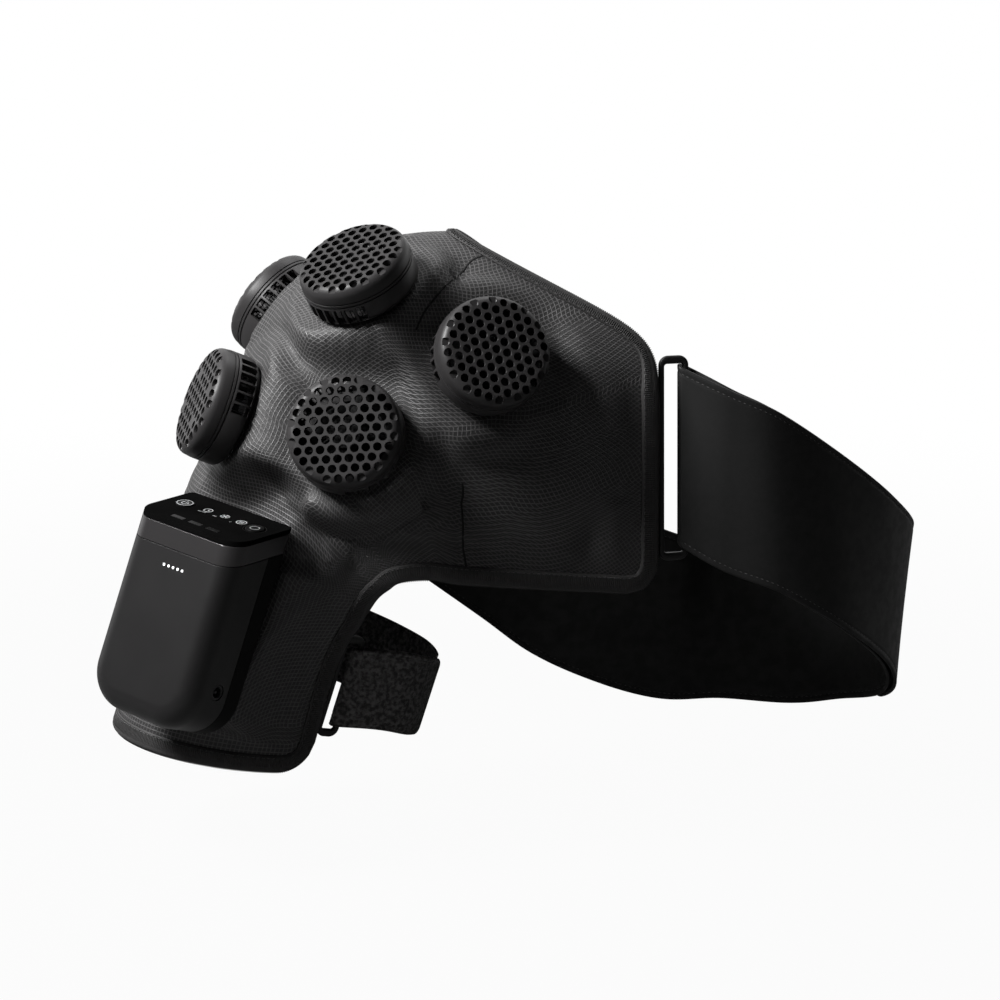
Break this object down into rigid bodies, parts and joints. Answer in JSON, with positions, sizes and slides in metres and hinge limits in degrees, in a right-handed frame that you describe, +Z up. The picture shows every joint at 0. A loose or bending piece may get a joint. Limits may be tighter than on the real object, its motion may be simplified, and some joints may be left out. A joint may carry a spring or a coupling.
{
  "type": "shoulder heat and cold therapy wrap",
  "caption": "Padded shoulder wrap with vented thermoelectric modules, a battery control unit on the arm, and torso and arm straps through slotted rings.",
  "frame": {"origin": "centre of the wearer's right shoulder joint, inside the cup of the wrap", "axes": "+Z up, +X from the arm towards the neck, -Y towards the wearer's front, where the camera stands"},
  "size_m": [0.4258, 0.2067, 0.2797],
  "materials": {
    "shell_laminate": "quilted dark laminate, low sheen",
    "lining_fabric": "soft brushed lining",
    "binding_tape": "ribbed woven tape",
    "harness_film": "flexible printed film",
    "module_plastic": "fine satin moulding",
    "rotor_plastic": "satin moulding",
    "sink_metal": "extruded, plain",
    "tile_ceramic": "white ceramic faces",
    "plate_metal": "smooth, clear anodised",
    "unit_satin": "satin",
    "unit_rear": "fine satin",
    "bezel_gloss": "polished dark band",
    "panel_gloss": "polished black",
    "button_plastic": "satin",
    "light_pipe": "clear white, lit",
    "jack_metal": "plated",
    "board_laminate": "coated board",
    "cell_wrap": "shrink film",
    "ring_plastic": "fine satin",
    "strap_web": "smooth laminated web",
    "loop_pile": "brushed loop pile",
    "hook_tape": "moulded hook tape"
  },
  "bodies": {
    "wrap": {"outer_shell": "shell_laminate", "inner_liner": "lining_fabric", "edge_binding": "binding_tape", "wiring_harness": "harness_film", "top_base_housing": "module_plastic", "top_grille_cap": "module_plastic", "top_heat_sink": "sink_metal", "top_thermo_tile": "tile_ceramic", "top_contact_plate": "plate_metal", "front_base_housing": "module_plastic", "front_grille_cap": "module_plastic", "front_heat_sink": "sink_metal", "front_thermo_tile": "tile_ceramic", "front_contact_plate": "plate_metal", "chest_base_housing": "module_plastic", "chest_grille_cap": "module_plastic", "chest_heat_sink": "sink_metal", "chest_thermo_tile": "tile_ceramic", "chest_contact_plate": "plate_metal", "side_base_housing": "module_plastic", "side_grille_cap": "module_plastic", "side_heat_sink": "sink_metal", "side_thermo_tile": "tile_ceramic", "side_contact_plate": "plate_metal", "rear_base_housing": "module_plastic", "rear_grille_cap": "module_plastic", "rear_heat_sink": "sink_metal", "rear_thermo_tile": "tile_ceramic", "rear_contact_plate": "plate_metal", "unit_front_shell": "unit_satin", "unit_rear_shell": "unit_rear", "unit_cradle": "unit_rear", "unit_bezel": "bezel_gloss", "unit_top_panel": "panel_gloss", "status_lights": "light_pipe", "charging_jack": "jack_metal", "circuit_board": "board_laminate", "battery_cell_1": "cell_wrap", "battery_cell_2": "cell_wrap", "battery_cell_3": "cell_wrap", "torso_ring": "ring_plastic", "arm_ring": "ring_plastic", "torso_strap": "strap_web", "arm_strap": "loop_pile", "torso_hook_patch": "hook_tape", "arm_hook_patch": "hook_tape"},
    "top_rotor": {"top_fan_rotor": "rotor_plastic"},
    "front_rotor": {"front_fan_rotor": "rotor_plastic"},
    "chest_rotor": {"chest_fan_rotor": "rotor_plastic"},
    "side_rotor": {"side_fan_rotor": "rotor_plastic"},
    "rear_rotor": {"rear_fan_rotor": "rotor_plastic"},
    "power_button": {"power_button": "button_plastic"},
    "mode_button": {"mode_button": "button_plastic"},
    "cold_key": {"cold_key": "button_plastic"},
    "timer_key": {"timer_key": "button_plastic"},
    "heat_key": {"heat_key": "button_plastic"}
  },
  "joints": [
    {"name": "top_rotor_spin", "type": "hinge", "parent": "wrap", "child": "top_rotor", "pos_m": [0.01588, -0.04277, 0.05583], "axis": [-0.3222, -0.4632, 0.8256], "continuous": true},
    {"name": "front_rotor_spin", "type": "hinge", "parent": "wrap", "child": "front_rotor", "pos_m": [0.00837, -0.07055, -0.01493], "axis": [-0.1105, -0.9238, 0.3665], "continuous": true},
    {"name": "chest_rotor_spin", "type": "hinge", "parent": "wrap", "child": "chest_rotor", "pos_m": [0.07502, -0.05709, 0.02211], "axis": [0.2701, -0.8803, 0.3901], "continuous": true},
    {"name": "side_rotor_spin", "type": "hinge", "parent": "wrap", "child": "side_rotor", "pos_m": [-0.05027, -0.03397, -0.00749], "axis": [-0.8803, -0.2701, 0.3901], "continuous": true},
    {"name": "rear_rotor_spin", "type": "hinge", "parent": "wrap", "child": "rear_rotor", "pos_m": [-0.02465, 0.0374, 0.03158], "axis": [-0.7297, 0.4198, 0.5398], "continuous": true},
    {"name": "power_button_press", "type": "slide", "parent": "wrap", "child": "power_button", "axis": [-0.0857, 0.1453, -0.9857], "range_m": [0, 0.0006], "stiffness_N_per_m": 300, "springref_m": -0.001},
    {"name": "mode_button_press", "type": "slide", "parent": "wrap", "child": "mode_button", "axis": [-0.0857, 0.1453, -0.9857], "range_m": [0, 0.0006], "stiffness_N_per_m": 300, "springref_m": -0.001},
    {"name": "cold_key_press", "type": "slide", "parent": "wrap", "child": "cold_key", "axis": [-0.0857, 0.1453, -0.9857], "range_m": [0, 0.0006], "stiffness_N_per_m": 300, "springref_m": -0.001},
    {"name": "timer_key_press", "type": "slide", "parent": "wrap", "child": "timer_key", "axis": [-0.0857, 0.1453, -0.9857], "range_m": [0, 0.0006], "stiffness_N_per_m": 300, "springref_m": -0.001},
    {"name": "heat_key_press", "type": "slide", "parent": "wrap", "child": "heat_key", "axis": [-0.0857, 0.1453, -0.9857], "range_m": [0, 0.0006], "stiffness_N_per_m": 300, "springref_m": -0.001}
  ]
}
